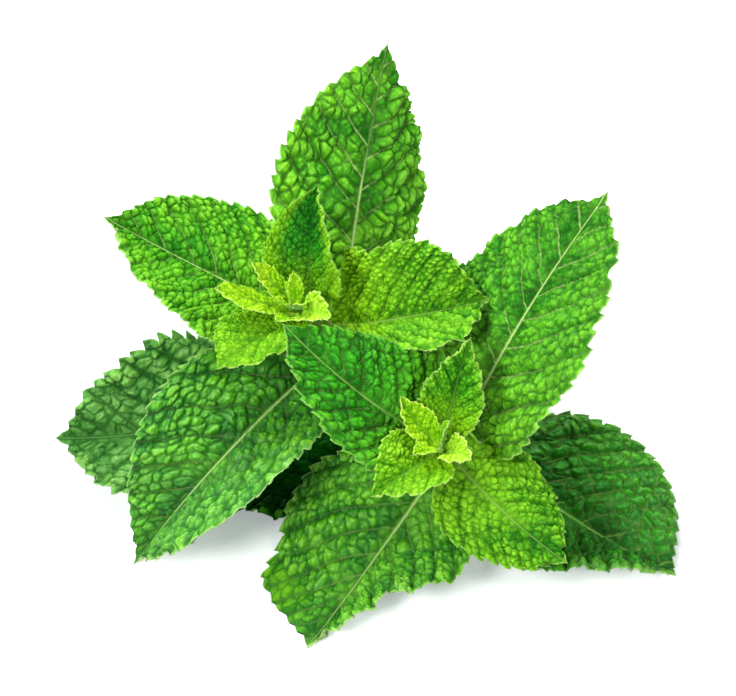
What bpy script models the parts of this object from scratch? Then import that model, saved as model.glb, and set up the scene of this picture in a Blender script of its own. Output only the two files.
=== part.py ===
"""A cut sprig of mint, forked into two leafy shoots, as it lies on a table.

Metres, +Z up. The origin is on the table, under the middle of the sprig.

The stem is square, as a mint stem is, and each leaf is a thin shell that hangs
from its stem by a short stalk. Leaves grow in opposite pairs, each pair turned
a quarter from the pair below it, and they get smaller towards a growing tip.
"""
import math
from collections import namedtuple

import bmesh
import bpy
import numpy as np
from mathutils import Quaternion, Vector

MM = 0.001  # the sizes below are millimetres, the model is metres

# Driving dimensions
LEAF_THICKNESS = 0.5
STALK_SHARE = 0.08  # the part of a leaf's length that is bare stalk
STALK_HALF_WIDTH = 0.3  # of the narrowest leaf, and a little more with the leaf's width
STALK_WIDENING = 0.018
STALK_REACH_SHARE = 0.3  # the blade is never narrower than the stalk before here
STALK_FLAT_SHARE = 0.15  # the halves are flat at the base and fully folded from here on
TIP_HALF_WIDTH = 0.25
STEM_GAP = 0.35  # clear space between a stalk and the stem it grew from
STEM_CORNER_REACH = 1.3  # from the stem's axis to its corners, in half widths
TOOTH_SPACING = 4.2
TOOTH_DEPTH_SHARE = 0.14  # tooth depth as a share of the leaf's half width there
LAST_NOTCH_SHARE = 0.97  # no notch nearer the tip than this
STRIPS_ACROSS = 4
STEM_CORNER_SHARE = 0.35  # corner radius of the square stem, of its half width
STEM_STEP = 4.0  # distance between the rings of a stem

STEM_GREEN = (0.16, 0.30, 0.05)
YOUNG_GREEN = (0.30, 0.52, 0.04)
OLD_GREEN = (0.03, 0.16, 0.03)
OLD_LEAF_BELOW = 30.0  # a leaf this far below the growing tip is fully green

# The sprig is laid out from its own fork and then moved so that the middle of
# its box is over the origin and its lowest point is on the table.
LAYOUT_TO_TABLE = Vector((0.74, -12.79, 0.28))

# Routes of the two stems, from the cut end or the fork to the growing tip:
# x, y, z and half width
MAIN_ROUTE = [
    (2.0, 78.0, 1.9, 2.0),
    (5.0, 55.0, 2.4, 2.0),
    (8.0, 34.0, 5.0, 2.0),
    (5.0, 16.0, 13.0, 1.9),
    (-1.5, 7.0, 21.0, 1.7),
    (-6.5, 1.0, 30.0, 1.5),
    (-9.0, -2.0, 39.0, 1.3),
    (-12.0, -5.0, 44.5, 1.0),
    (-15.0, -8.0, 49.0, 0.6),
]
SIDE_ROUTE = [
    (12.0, 33.0, 5.0, 1.4),
    (15.5, 28.0, 4.5, 1.4),
    (18.5, 15.0, 4.2, 1.4),
    (20.5, -1.0, 6.5, 1.4),
    (19.0, -13.0, 14.0, 1.3),
    (16.0, -21.0, 23.5, 1.2),
    (14.5, -27.0, 30.0, 1.1),
    (14.0, -32.0, 35.0, 0.9),
    (13.5, -36.0, 39.0, 0.6),
]

# One leaf. below: distance down its stem from the growing tip. heading and
# rise: where its tip lies as seen from its base, in degrees round from +X and
# up from level. roll: how far it leans over about its own length, and twist:
# how much more by its tip. fold: how far each half is lifted from flat, and
# curl: how much more at the margin. arch and sweep: how far the midrib bows up
# and sideways, as shares of the length. belly and taper: exponents of the
# outline towards the base and towards the tip.
Leaf = namedtuple(
    "Leaf",
    "name below length width heading rise roll twist fold curl arch sweep belly taper",
    defaults=(0, 0, 8, 6, 0.04, 0.0, 0.6, 0.85),
)

MAIN_LEAVES = [
    Leaf("fork_left_leaf", 71, 34, 22, 142, -1),
    Leaf("fork_right_leaf", 71, 36, 22, 14, -2),
    Leaf("main_far_left_leaf", 38, 64, 38.5, -168.5, -9, -25, -7, 22, 12, 0.02, -0.08, 0.77, 0.67),
    Leaf("main_far_right_leaf", 38, 38, 26, 15, -17, 0, 0, 8, 6, 0.1),
    Leaf("main_top_leaf", 24, 59.3, 36, 77.8, 41.5, 34, 0, -17, -8, 0.0, -0.01, 0.58, 0.88),
    Leaf("main_low_left_leaf", 24, 57, 38, -141.5, -29.2, -25, 28, 26, 17, 0.175, 0.0, 0.5, 0.8),
    Leaf("main_left_leaf", 15, 46.5, 32.5, 162, 20.5, -16, 12, 10, 7, -0.06, 0.02, 0.56, 0.8),
    Leaf("main_right_leaf", 15, 32, 30, -7, 20, 16, 13, 32, 13, 0.07, 0.07, 0.73, 0.63),
    Leaf("main_young_up_leaf", 7.5, 24, 18, 84, 60, -20, -19, 24, 2, 0.01, -0.04, 0.6, 0.97),
    Leaf("main_young_low_leaf", 7.5, 21.5, 20, -139, 4, 26, -20, 12, 0, 0.1, -0.065, 0.79, 0.84),
    Leaf("main_small_left_leaf", 3.6, 17, 10, -169, 29.5, 20, -14, 2, -5, -0.03, 0.045, 0.83, 0.84),
    Leaf("main_small_right_leaf", 3.6, 10, 9.5, -55, 33, 38, -6, 26, 5, 0.08, 0.0, 0.85, 0.77),
    Leaf("main_tiny_up_leaf", 2.2, 12.5, 7, 173, 51.5, -3, 0, 7, 0, 0.0, 0.0, 0.7, 0.9),
    Leaf("main_tiny_low_leaf", 2.2, 6.6, 3.6, -128, 30, 0, 0, 15, 5, 0.05, 0.0, 0.75, 0.9),
    Leaf("main_bud_up_leaf", 1.0, 7, 4, 105, 80, 0, 0, 30, 5, 0.02, 0.0, 0.7, 0.9),
    Leaf("main_bud_low_leaf", 1.0, 6.2, 3.6, -75, 50, 0, 0, 24, 5, 0.02, 0.0, 0.7, 0.9),
]
SIDE_LEAVES = [
    Leaf("side_low_left_leaf", 44, 53, 29, -167, -7, 4, 9, 1, 1, -0.03, 0.04, 0.66, 1.1),
    Leaf("side_low_right_leaf", 44, 49, 45, -38, -6, 16, -30, 19, -2, -0.1, 0.0, 0.4, 0.75),
    Leaf("side_back_leaf", 23.5, 57, 38.5, 40.5, 49.3, -9, 0, 0, 0, 0.1, 0.05, 0.32, 0.61),
    Leaf("side_front_leaf", 23.5, 46, 41.5, -131, -26.5, -29, 56, 19, 8, -0.14, -0.02, 0.34, 0.52),
    Leaf("side_upper_left_leaf", 11, 38, 25, 164, 38, -22, -3, 7, 5, 0.09, -0.08, 0.37, 0.74),
    Leaf("side_upper_right_leaf", 11, 30.5, 25, -40.5, -19, 28, 0, -19, -10, -0.09, 0.03, 0.48, 0.92),
    Leaf("side_young_up_leaf", 6.5, 21, 15, 62, 61, 7, 18, 27, 8, 0.0, -0.02, 0.6, 1.15),
    Leaf("side_young_low_leaf", 6.5, 16.8, 17, -136, 3, -12, 2, 22, 10, 0.115, -0.05, 0.62, 1.05),
    Leaf("side_small_left_leaf", 3.4, 11.8, 8.6, 155, 51, -31, 0, 23, 7, -0.04, -0.04, 0.7, 0.95),
    Leaf("side_small_right_leaf", 3.4, 9, 8.5, -60, 33, 34, 0, 26, 0, 0.08, 0.0, 0.75, 0.78),
    Leaf("side_bud_up_leaf", 1.4, 6, 4, 0, 80, 0, 0, 30, 5, 0.02, 0.0, 0.7, 0.9),
    Leaf("side_bud_low_leaf", 1.4, 7, 4.5, -130, 33, 0, 0, 30, 5, 0.02, 0.0, 0.7, 0.9),
]


def clear_scene():
    for old in list(bpy.data.objects):
        bpy.data.objects.remove(old)


def make_material(name, colour, roughness):
    material = bpy.data.materials.new(name)
    material.use_nodes = True
    shader = material.node_tree.nodes["Principled BSDF"]
    shader.inputs["Base Color"].default_value = (*colour, 1.0)
    shader.inputs["Roughness"].default_value = roughness
    shader.inputs["Metallic"].default_value = 0.0
    return material


# ---- Stems

def smooth_route(route, step):
    """Points of a smooth curve through a route, about a step apart, tip last."""
    knots = np.array(route)
    knots = np.vstack([2 * knots[0] - knots[1], knots, 2 * knots[-1] - knots[-2]])
    points = []
    for i in range(1, len(knots) - 2):
        before, here, after, beyond = knots[i - 1:i + 3]
        count = max(2, round(np.linalg.norm((after - here)[:3]) / step))
        for t in np.arange(count) / count:
            points.append(0.5 * (
                2 * here + (after - before) * t
                + (2 * before - 5 * here + 4 * after - beyond) * t ** 2
                + (3 * here - before - 3 * after + beyond) * t ** 3))
    points.append(knots[-2])
    return np.array(points)


def place_on_stem(points, below):
    """Where a leaf pair sits on a stem: position, upward direction, half width."""
    from_tip = points[::-1]
    lengths = np.linalg.norm(np.diff(from_tip[:, :3], axis=0), axis=1)
    distance = np.concatenate([[0.0], np.cumsum(lengths)])

    def at(d):
        return [np.interp(d, distance, from_tip[:, k]) for k in range(4)]

    here = at(below)
    lower = at(below + 0.5)
    up = (Vector(here[:3]) - Vector(lower[:3])).normalized()
    return Vector(here[:3]), up, here[3]


def square_profile(name):
    """The stem's section: a square of half width 1 with round corners."""
    corner = STEM_CORNER_SHARE
    outline = []
    for quarter in range(4):
        for turn in (0.0, 1.0):
            angle = (quarter + turn) * math.pi / 2
            middle = (quarter + 0.5) * math.pi / 2
            x = math.copysign(1 - corner, math.cos(middle)) + corner * math.cos(angle)
            y = math.copysign(1 - corner, math.sin(middle)) + corner * math.sin(angle)
            outline.append((x, y))
    curve = bpy.data.curves.new(name, "CURVE")
    curve.dimensions = "2D"
    spline = curve.splines.new("POLY")
    spline.points.add(len(outline) - 1)
    for point, (x, y) in zip(spline.points, reversed(outline)):
        point.co = (x * MM, y * MM, 0.0, 1.0)
    spline.use_cyclic_u = True
    profile = bpy.data.objects.new(name, curve)
    profile.hide_render = True
    profile.display_type = "WIRE"
    return profile


def make_stem(name, points, profile, material):
    curve = bpy.data.curves.new(name, "CURVE")
    curve.dimensions = "3D"
    curve.bevel_mode = "OBJECT"
    curve.bevel_object = profile
    curve.use_fill_caps = True
    spline = curve.splines.new("POLY")
    spline.points.add(len(points) - 1)
    for point, (x, y, z, half_width) in zip(spline.points, points):
        point.co = (x * MM, y * MM, z * MM, 1.0)
        point.radius = half_width
    curve.materials.append(material)
    stem = bpy.data.objects.new(name, curve)
    stem.location = LAYOUT_TO_TABLE * MM
    return stem


# ---- Leaves

def bow(s):
    """0 at both ends of the midrib and 1 at its middle."""
    return 4 * s * (1 - s)


def outline_share(leaf, s):
    """The blade's half width at s along the leaf, as a share of its widest."""
    b = min(1.0, max(0.0, (s - STALK_SHARE) / (1 - STALK_SHARE)))
    widest = leaf.belly / (leaf.belly + leaf.taper)
    peak = widest ** leaf.belly * (1 - widest) ** leaf.taper
    return b ** leaf.belly * (1 - b) ** leaf.taper / peak


def half_width(leaf, s):
    stalk = STALK_HALF_WIDTH + STALK_WIDENING * leaf.width
    least = stalk if s < STALK_REACH_SHARE else TIP_HALF_WIDTH
    return max(least, leaf.width / 2 * outline_share(leaf, s))


def leaf_frame(leaf, stem_points):
    """The leaf's base and its directions: along, up and sideways."""
    position, stem_up, stem_half_width = place_on_stem(stem_points, leaf.below)
    heading = math.radians(leaf.heading)
    rise = math.radians(leaf.rise)
    along = Vector((
        math.cos(rise) * math.cos(heading),
        math.cos(rise) * math.sin(heading),
        math.sin(rise)))
    outward = (along - stem_up * along.dot(stem_up)).normalized()
    clear = stem_half_width * STEM_CORNER_REACH + LEAF_THICKNESS / 2 + STEM_GAP
    base = position + outward * clear
    up = Vector((0, 0, 1))
    up = (up - along * along.dot(up)).normalized()
    up = Quaternion(along, math.radians(leaf.roll)) @ up
    return base, along, up, along.cross(up)


def midrib_point(leaf, frame, s):
    base, along, up, side = frame
    lift = leaf.length * bow(s)
    return base + along * leaf.length * s + up * leaf.arch * lift + side * leaf.sweep * lift


def leaf_point(leaf, frame, s, v, width):
    """A point of the leaf: s from base to tip, v from -1 to 1 across it."""
    step = 0.0005
    ahead = midrib_point(leaf, frame, min(1.0, s + step))
    behind = midrib_point(leaf, frame, max(0.0, s - step))
    tangent = (ahead - behind).normalized()
    up = frame[2]
    up = (up - tangent * tangent.dot(up)).normalized()
    up = Quaternion(tangent, math.radians(leaf.twist * s)) @ up
    side = tangent.cross(up)
    lift = math.radians(leaf.fold + leaf.curl * abs(v) / 2) * min(1.0, s / STALK_FLAT_SHARE)
    y = v * width
    middle = midrib_point(leaf, frame, s)
    return middle + side * y * math.cos(lift) + up * abs(y) * math.sin(lift)


def make_leaf(leaf, stem_points, material):
    frame = leaf_frame(leaf, stem_points)
    teeth = max(3, round(leaf.length * (1 - STALK_SHARE) / TOOTH_SPACING))
    steps_along = 2 * teeth + 2
    shell = bmesh.new()
    bmesh.ops.create_grid(shell, x_segments=steps_along, y_segments=STRIPS_ACROSS, size=1.0)
    for vertex in shell.verts:
        s = (vertex.co.x + 1) / 2
        v = vertex.co.y
        step = round(s * steps_along)
        width = half_width(leaf, s)
        in_notch = step % 2 == 1 and STALK_SHARE < s < LAST_NOTCH_SHARE
        if in_notch:
            width *= 1 - TOOTH_DEPTH_SHARE * v * v
        vertex.co = leaf_point(leaf, frame, s, v, width) * MM
    mesh = bpy.data.meshes.new(leaf.name)
    shell.to_mesh(mesh)
    shell.free()
    mesh.materials.append(material)
    mesh.shade_smooth()
    blade = bpy.data.objects.new(leaf.name, mesh)
    blade.location = LAYOUT_TO_TABLE * MM
    solidify = blade.modifiers.new("thickness", "SOLIDIFY")
    solidify.thickness = LEAF_THICKNESS * MM
    solidify.offset = 0.0
    return blade


def leaf_colour(leaf):
    """Deep green on the oldest leaves, yellow-green on the youngest."""
    age = min(1.0, leaf.below / OLD_LEAF_BELOW)
    young = np.array(YOUNG_GREEN)
    return tuple(young + (np.array(OLD_GREEN) - young) * age)


def main():
    clear_scene()
    sprig = bpy.data.collections.new("mint_sprig")
    guides = bpy.data.collections.new("guides")
    bpy.context.scene.collection.children.link(sprig)
    bpy.context.scene.collection.children.link(guides)

    profile = square_profile("stem_section")
    guides.objects.link(profile)

    main_points = smooth_route(MAIN_ROUTE, STEM_STEP)
    side_points = smooth_route(SIDE_ROUTE, STEM_STEP)
    for name, points in (("main_stem", main_points), ("side_stem", side_points)):
        material = make_material(name, STEM_GREEN, 0.55)
        sprig.objects.link(make_stem(name, points, profile, material))
    for leaves, points in ((MAIN_LEAVES, main_points), (SIDE_LEAVES, side_points)):
        for leaf in leaves:
            material = make_material(leaf.name, leaf_colour(leaf), 0.45)
            sprig.objects.link(make_leaf(leaf, points, material))


main()
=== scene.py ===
import math
from collections import namedtuple

import bmesh
import bpy
import numpy as np
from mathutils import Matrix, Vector


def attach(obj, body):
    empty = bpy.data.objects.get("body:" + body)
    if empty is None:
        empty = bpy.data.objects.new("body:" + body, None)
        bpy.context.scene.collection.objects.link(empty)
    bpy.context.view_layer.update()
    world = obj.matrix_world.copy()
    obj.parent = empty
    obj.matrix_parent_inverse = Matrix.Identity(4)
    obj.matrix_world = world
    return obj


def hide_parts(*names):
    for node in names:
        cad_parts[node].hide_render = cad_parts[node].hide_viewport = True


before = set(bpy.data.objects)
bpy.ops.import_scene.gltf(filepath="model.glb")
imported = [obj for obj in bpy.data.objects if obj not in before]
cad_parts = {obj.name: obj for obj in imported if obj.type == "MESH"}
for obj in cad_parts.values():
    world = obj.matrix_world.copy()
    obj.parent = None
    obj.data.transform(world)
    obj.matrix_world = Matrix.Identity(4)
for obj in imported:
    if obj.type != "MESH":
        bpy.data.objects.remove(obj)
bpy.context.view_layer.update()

MM = 0.001

# ---- The sprig's layout
#
# Stems and leaves are laid out as in the frame's solids, but for four leaves. Here
# side_low_left_leaf is 2 mm wider and turned by a degree. main_small_right_leaf,
# side_small_left_leaf and side_small_right_leaf are folded and curled more.

STALK_SHARE = 0.08
STALK_HALF_WIDTH = 0.3
STALK_WIDENING = 0.018
STALK_REACH_SHARE = 0.3
STALK_FLAT_SHARE = 0.15
TIP_HALF_WIDTH = 0.12
POINT_SHARE = 0.16  # the last part of a leaf, drawn out to its point
STALK_CLEARANCE = 0.6  # from a stem's corner to the middle of a solid stalk
STEM_CORNER_REACH = 1.3
LAYOUT_TO_TABLE = np.array((0.74, -12.79, 0.28))  # moves the sprig's box over the origin

MAIN_ROUTE = [
    (2.0, 78.0, 1.9, 2.0),
    (5.0, 55.0, 2.4, 2.0),
    (8.0, 34.0, 5.0, 2.0),
    (5.0, 16.0, 13.0, 1.9),
    (-1.5, 7.0, 21.0, 1.7),
    (-6.5, 1.0, 30.0, 1.5),
    (-9.0, -2.0, 39.0, 1.3),
    (-12.0, -5.0, 44.5, 1.0),
    (-15.0, -8.0, 49.0, 0.6),
]
SIDE_ROUTE = [
    (12.0, 33.0, 5.0, 1.4),
    (15.5, 28.0, 4.5, 1.4),
    (18.5, 15.0, 4.2, 1.4),
    (20.5, -1.0, 6.5, 1.4),
    (19.0, -13.0, 14.0, 1.3),
    (16.0, -21.0, 23.5, 1.2),
    (14.5, -27.0, 30.0, 1.1),
    (14.0, -32.0, 35.0, 0.9),
    (13.5, -36.0, 39.0, 0.6),
]

# below: distance down its stem from the growing tip. heading and rise: where the leaf's
# tip lies as seen from its base. roll and twist: how far it leans over, and how much
# more by its tip. fold and curl: how far each half is lifted, and how much more at the
# margin. arch and sweep: how far the midrib bows. belly and taper: the outline's
# exponents towards the base and the tip.
Leaf = namedtuple(
    "Leaf",
    "name below length width heading rise roll twist fold curl arch sweep belly taper",
    defaults=(0, 0, 8, 6, 0.04, 0.0, 0.6, 0.85),
)

MAIN_LEAVES = [
    Leaf("fork_left_leaf", 71, 34, 22, 142, -1),
    Leaf("fork_right_leaf", 71, 36, 22, 14, -2),
    Leaf("main_far_left_leaf", 38, 64, 38.5, -168.5, -9, -25, -7, 22, 12, 0.02, -0.08, 0.77, 0.67),
    Leaf("main_far_right_leaf", 38, 38, 26, 15, -17, 0, 0, 8, 6, 0.1),
    Leaf("main_top_leaf", 24, 59.3, 36, 77.8, 41.5, 34, 0, -17, -8, 0.0, -0.01, 0.58, 0.88),
    Leaf("main_low_left_leaf", 24, 57, 38, -141.5, -29.2, -25, 28, 26, 17, 0.175, 0.0, 0.5, 0.8),
    Leaf("main_left_leaf", 15, 46.5, 32.5, 162, 20.5, -16, 12, 10, 7, -0.06, 0.02, 0.56, 0.8),
    Leaf("main_right_leaf", 15, 32, 30, -7, 20, 16, 13, 32, 13, 0.07, 0.07, 0.73, 0.63),
    Leaf("main_young_up_leaf", 7.5, 24, 18, 84, 60, -20, -19, 24, 2, 0.01, -0.04, 0.6, 0.97),
    Leaf("main_young_low_leaf", 7.5, 21.5, 20, -139, 4, 26, -20, 12, 0, 0.1, -0.065, 0.79, 0.84),
    Leaf("main_small_left_leaf", 3.6, 17, 10, -169, 29.5, 20, -14, 2, -5, -0.03, 0.045, 0.83, 0.84),
    Leaf("main_small_right_leaf", 3.6, 10, 9.5, -55, 33, 38, -6, 32, 24, 0.08, 0.0, 0.85, 0.77),
    Leaf("main_tiny_up_leaf", 2.2, 12.5, 7, 173, 51.5, -3, 0, 7, 0, 0.0, 0.0, 0.7, 0.9),
    Leaf("main_tiny_low_leaf", 2.2, 6.6, 3.6, -128, 30, 0, 0, 15, 5, 0.05, 0.0, 0.75, 0.9),
    Leaf("main_bud_up_leaf", 1.0, 7, 4, 105, 80, 0, 0, 30, 5, 0.02, 0.0, 0.7, 0.9),
    Leaf("main_bud_low_leaf", 1.0, 6.2, 3.6, -75, 50, 0, 0, 24, 5, 0.02, 0.0, 0.7, 0.9),
]
SIDE_LEAVES = [
    Leaf("side_low_left_leaf", 44, 53, 31, -166, -7, 4, 9, 1, 1, -0.03, 0.04, 0.66, 1.1),
    Leaf("side_low_right_leaf", 44, 49, 45, -38, -6, 16, -30, 19, -2, -0.1, 0.0, 0.4, 0.75),
    Leaf("side_back_leaf", 23.5, 57, 38.5, 40.5, 49.3, -9, 0, 0, 0, 0.1, 0.05, 0.32, 0.61),
    Leaf("side_front_leaf", 23.5, 46, 41.5, -131, -26.5, -29, 56, 19, 8, -0.14, -0.02, 0.34, 0.52),
    Leaf("side_upper_left_leaf", 11, 38, 25, 164, 38, -22, -3, 7, 5, 0.09, -0.08, 0.37, 0.74),
    Leaf("side_upper_right_leaf", 11, 30.5, 25, -40.5, -19, 28, 0, -19, -10, -0.09, 0.03, 0.48, 0.92),
    Leaf("side_young_up_leaf", 6.5, 21, 15, 62, 61, 7, 18, 27, 8, 0.0, -0.02, 0.6, 1.15),
    Leaf("side_young_low_leaf", 6.5, 16.8, 17, -136, 3, -12, 2, 22, 10, 0.115, -0.05, 0.62, 1.05),
    Leaf("side_small_left_leaf", 3.4, 11.8, 8.6, 155, 51, -31, 0, 30, 20, -0.04, -0.04, 0.7, 0.95),
    Leaf("side_small_right_leaf", 3.4, 9, 8.5, -60, 33, 34, 0, 34, 20, 0.08, 0.0, 0.75, 0.78),
    Leaf("side_bud_up_leaf", 1.4, 6, 4, 0, 80, 0, 0, 30, 5, 0.02, 0.0, 0.7, 0.9),
    Leaf("side_bud_low_leaf", 1.4, 7, 4.5, -130, 33, 0, 0, 30, 5, 0.02, 0.0, 0.7, 0.9),
]

# ---- How a leaf's surface is made, by its age

# grid: spacing of the mesh. pairs: side veins on each half. tooth and notch: spacing and
# depth of the teeth. quilt, dome, pimple: heights of the swelling between side veins,
# between small veins and between the finest. cell: width of a dome. ruffle: how far the
# margin waves up and down. rib: width of the midrib. base: width of a stalkless leaf's
# foot, as a share of its widest. crack: painted shade, how far the furrows between domes
# are darkened.
Build = namedtuple("Build", "grid pairs tooth notch quilt dome pimple cell ruffle rib base crack")
OLD = Build(0.24, 8, 3.4, 1.4, 0.8, 1.10, 0.45, 2.4, 0.7, 0.9, 0.0, 0.68)
GROWN = Build(0.22, 8, 3.2, 1.3, 0.8, 1.10, 0.50, 2.0, 0.6, 0.8, 0.0, 0.60)
TENDER = Build(0.19, 8, 2.6, 1.0, 0.55, 0.92, 0.38, 1.15, 0.5, 0.6, 0.1, 0.45)
YOUNG = Build(0.14, 6, 2.0, 0.55, 0.32, 0.46, 0.16, 0.95, 0.35, 0.4, 0.35, 0.42)
SMALL = Build(0.10, 5, 1.6, 0.45, 0.20, 0.24, 0.07, 0.8, 0.2, 0.3, 0.5, 0.42)
BUD = Build(0.08, 4, 1.2, 0.25, 0.10, 0.14, 0.03, 0.6, 0.1, 0.2, 0.6, 0.42)

# Leaves that differ from the rest of their age.
MAIN_TOP = GROWN._replace(cell=2.2, dome=1.5, pimple=0.40)
MAIN_LOW_LEFT = GROWN._replace(cell=2.2, pairs=7, dome=1.2, ruffle=0.3, tooth=2.6, notch=1.0)
MAIN_FAR_LEFT = OLD._replace(tooth=3.6, notch=1.9)
MAIN_LEFT = TENDER._replace(cell=1.6, base=0.0, dome=1.00)
MAIN_RIGHT = TENDER._replace(base=0.35)
MAIN_YOUNG_UP = YOUNG._replace(dome=0.56, pimple=0.2)
SIDE_LOW_RIGHT = OLD._replace(cell=2.4, dome=1.5, pimple=0.55, notch=1.0, ruffle=0.3)
SIDE_BACK = GROWN._replace(cell=1.6, dome=0.90, base=0.30)
SIDE_FRONT = GROWN._replace(cell=1.8, dome=1.15)
SIDE_UPPER_LEFT = TENDER._replace(cell=1.9, dome=1.00, base=0.35)
SIDE_UPPER_RIGHT = TENDER._replace(base=0.30)

# Colours of one leaf, from the grooves to the tops of the domes, as they look in
# daylight: red, green and blue from 0 to 1. The groove colour is painted shade for the
# furrows and the top colour a painted highlight for the domes; body and rib are the
# leaf's own greens.
Greens = namedtuple("Greens", "groove body top rib")
DEEP = Greens((0.00, 0.27, 0.00), (0.05, 0.47, 0.01), (0.24, 0.68, 0.10), (0.56, 0.80, 0.34))
# painted shade: greens darkened as a whole for side_low_left_leaf, which lies in shade under the
# leaves above it
SHADOWED_LEAF_GREENS = Greens((0.00, 0.28, 0.00), (0.00, 0.39, 0.00), (0.02, 0.46, 0.00), (0.12, 0.50, 0.06))
SHADE = Greens((0.06, 0.36, 0.04), (0.28, 0.58, 0.18), (0.46, 0.72, 0.32), (0.58, 0.78, 0.44))
BLUISH = Greens((0.00, 0.26, 0.00), (0.05, 0.47, 0.01), (0.28, 0.76, 0.10), (0.60, 0.84, 0.36))
MIDDLE = Greens((0.00, 0.31, 0.00), (0.13, 0.55, 0.01), (0.46, 0.82, 0.16), (0.76, 0.92, 0.52))
FULL = Greens((0.01, 0.34, 0.00), (0.19, 0.60, 0.01), (0.52, 0.86, 0.17), (0.76, 0.92, 0.52))
LIGHT = Greens((0.02, 0.36, 0.00), (0.20, 0.60, 0.01), (0.50, 0.84, 0.14), (0.70, 0.86, 0.42))
BRIGHT = Greens((0.02, 0.34, 0.00), (0.25, 0.62, 0.01), (0.60, 0.90, 0.16), (0.72, 0.88, 0.42))
FRESH = Greens((0.12, 0.46, 0.00), (0.40, 0.72, 0.01), (0.68, 0.92, 0.16), (0.76, 0.92, 0.40))
LIME = Greens((0.30, 0.62, 0.00), (0.62, 0.88, 0.02), (0.86, 1.00, 0.20), (0.84, 0.96, 0.40))
PALEST = Greens((0.44, 0.74, 0.03), (0.74, 0.96, 0.12), (0.88, 1.00, 0.34), (0.88, 1.00, 0.52))

# How each leaf is made, its greens, and its age, which sets how much light shines through it.
LOOKS = {
    "fork_left_leaf": (OLD, DEEP, "old_leaf"),
    "fork_right_leaf": (OLD, DEEP, "old_leaf"),
    "main_far_left_leaf": (MAIN_FAR_LEFT, SHADE, "old_leaf"),
    "main_far_right_leaf": (OLD, DEEP, "old_leaf"),
    "main_top_leaf": (MAIN_TOP, FULL, "grown_leaf"),
    "main_low_left_leaf": (MAIN_LOW_LEFT, MIDDLE, "grown_leaf"),
    "main_left_leaf": (MAIN_LEFT, FULL, "grown_leaf"),
    "main_right_leaf": (MAIN_RIGHT, BRIGHT, "grown_leaf"),
    "main_young_up_leaf": (MAIN_YOUNG_UP, DEEP, "young_leaf"),
    "main_young_low_leaf": (YOUNG, FRESH, "young_leaf"),
    "main_small_left_leaf": (SMALL, LIME, "young_leaf"),
    "main_small_right_leaf": (SMALL, PALEST, "young_leaf"),
    "main_tiny_up_leaf": (SMALL, LIME, "young_leaf"),
    "main_tiny_low_leaf": (BUD, LIME, "young_leaf"),
    "main_bud_up_leaf": (BUD, LIME, "young_leaf"),
    "main_bud_low_leaf": (BUD, LIME, "young_leaf"),
    "side_low_left_leaf": (OLD, SHADOWED_LEAF_GREENS, "old_leaf"),
    "side_low_right_leaf": (SIDE_LOW_RIGHT, DEEP, "old_leaf"),
    "side_back_leaf": (SIDE_BACK, MIDDLE, "grown_leaf"),
    "side_front_leaf": (SIDE_FRONT, FULL, "grown_leaf"),
    "side_upper_left_leaf": (SIDE_UPPER_LEFT, BLUISH, "grown_leaf"),
    "side_upper_right_leaf": (SIDE_UPPER_RIGHT, BRIGHT, "grown_leaf"),
    "side_young_up_leaf": (YOUNG, LIGHT, "young_leaf"),
    "side_young_low_leaf": (YOUNG, FRESH, "young_leaf"),
    "side_small_left_leaf": (SMALL, LIME, "young_leaf"),
    "side_small_right_leaf": (SMALL, PALEST, "young_leaf"),
    "side_bud_up_leaf": (BUD, FRESH, "young_leaf"),
    "side_bud_low_leaf": (BUD, LIME, "young_leaf"),
}

# How clearly the midrib, the side veins and the finest veins show pale, from 0 to 1.
PALE_VEINS = {
    "main_top_leaf": (1.0, 0.80, 0.06),
    "main_left_leaf": (0.90, 0.50, 0.0),
    "main_low_left_leaf": (0.80, 0.22, 0.0),
    "main_right_leaf": (0.40, 0.10, 0.0),
    "side_back_leaf": (1.0, 0.75, 0.06),
    "side_upper_left_leaf": (0.65, 0.35, 0.12),
    "side_upper_right_leaf": (0.40, 0.10, 0.0),
    "side_low_right_leaf": (0.95, 0.75, 0.30),
    "side_front_leaf": (0.80, 0.30, 0.0),
}
PLAIN_VEINS = (0.30, 0.08, 0.0)

# Where along a leaf its midrib starts to lose its paleness, as a share of the blade.
RIB_FADES = {"main_top_leaf": 0.42, "main_low_left_leaf": 0.75, "main_young_up_leaf": 0.30}
PLAIN_RIB_FADE = 0.95

# How strongly a leaf shines, from 0 to 1.
SHINY = {
    "main_low_left_leaf": 0.60, "side_front_leaf": 0.50, "side_low_right_leaf": 0.45,
    "main_far_left_leaf": 0.40, "side_low_left_leaf": 0.10,
}
PLAIN_SHINE = 0.20

# How yellow a leaf is where it leaves the stem, from 0 to 1. main_right_leaf's foot is
# also made this light as painted light over the shade that falls on it.
YELLOW_AND_LIT_FOOT = {
    "main_right_leaf": 0.7, "side_upper_right_leaf": 0.32, "main_young_up_leaf": 0.45,
    "side_young_up_leaf": 0.7, "main_young_low_leaf": 0.4, "side_young_low_leaf": 0.5,
    "side_upper_left_leaf": 0.15, "main_left_leaf": 0.35, "main_top_leaf": 0.2,
    "side_back_leaf": 0.2,
}

# How yellow a leaf is towards its margins, from 0 to 1.
YELLOW_MARGIN = {
    "main_young_up_leaf": 0.75, "side_young_up_leaf": 0.3, "main_top_leaf": 0.1,
}

BLADE_THICKNESS = 0.30
MARGIN_THICKNESS = 0.14
TABLE_GAP = 0.06  # between the table and the lowest point of a leaf
CREASE = 0.7  # how far from the midrib the fold is rounded


# ---- Small mathematics

def unit(vectors):
    return vectors / np.linalg.norm(vectors, axis=-1, keepdims=True)


def smooth(x, low, high):
    """0 below low, 1 above high and an even slope between."""
    t = np.clip((x - low) / (high - low), 0.0, 1.0)
    return t * t * (3 - 2 * t)


def bell(x, width):
    return np.exp(-(x / width) ** 2)


def scatter(a, b, seed):
    """A number from 0 to 1 for each pair of whole numbers, always the same."""
    mixed = np.sin(a * 127.1 + b * 311.7 + seed * 74.7) * 43758.5453
    return mixed - np.floor(mixed)


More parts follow.
